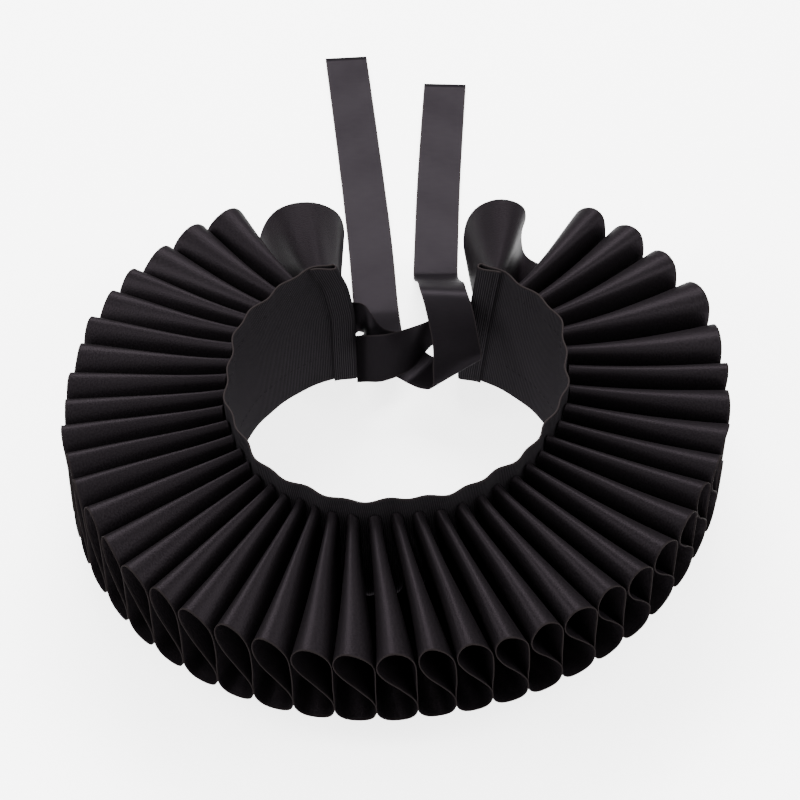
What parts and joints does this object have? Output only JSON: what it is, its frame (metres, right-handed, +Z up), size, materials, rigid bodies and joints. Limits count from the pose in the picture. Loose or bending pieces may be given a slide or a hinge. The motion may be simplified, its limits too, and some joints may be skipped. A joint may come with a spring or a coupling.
{
  "type": "ruff collar",
  "caption": "Pleated satin ruff sewn round an upright grosgrain neckband, with two satin ribbon ties in a loose half knot at the back.",
  "frame": {"origin": "middle of the collar's footprint, ties included, on the surface it stands on", "axes": "+Z up the standing neckband, -Y towards the front of the collar, +Y towards the back, where the ties lie, and +X towards the wearer's left"},
  "size_m": [0.2866, 0.4278, 0.0762],
  "materials": {
    "satin": "soft satin sheen",
    "grosgrain": "matt ribbed",
    "ribbon": "satin"
  },
  "bodies": {
    "root": {"ruff": "satin", "neckband": "grosgrain", "tie_left": "ribbon", "tie_right": "ribbon"}
  },
  "joints": []
}
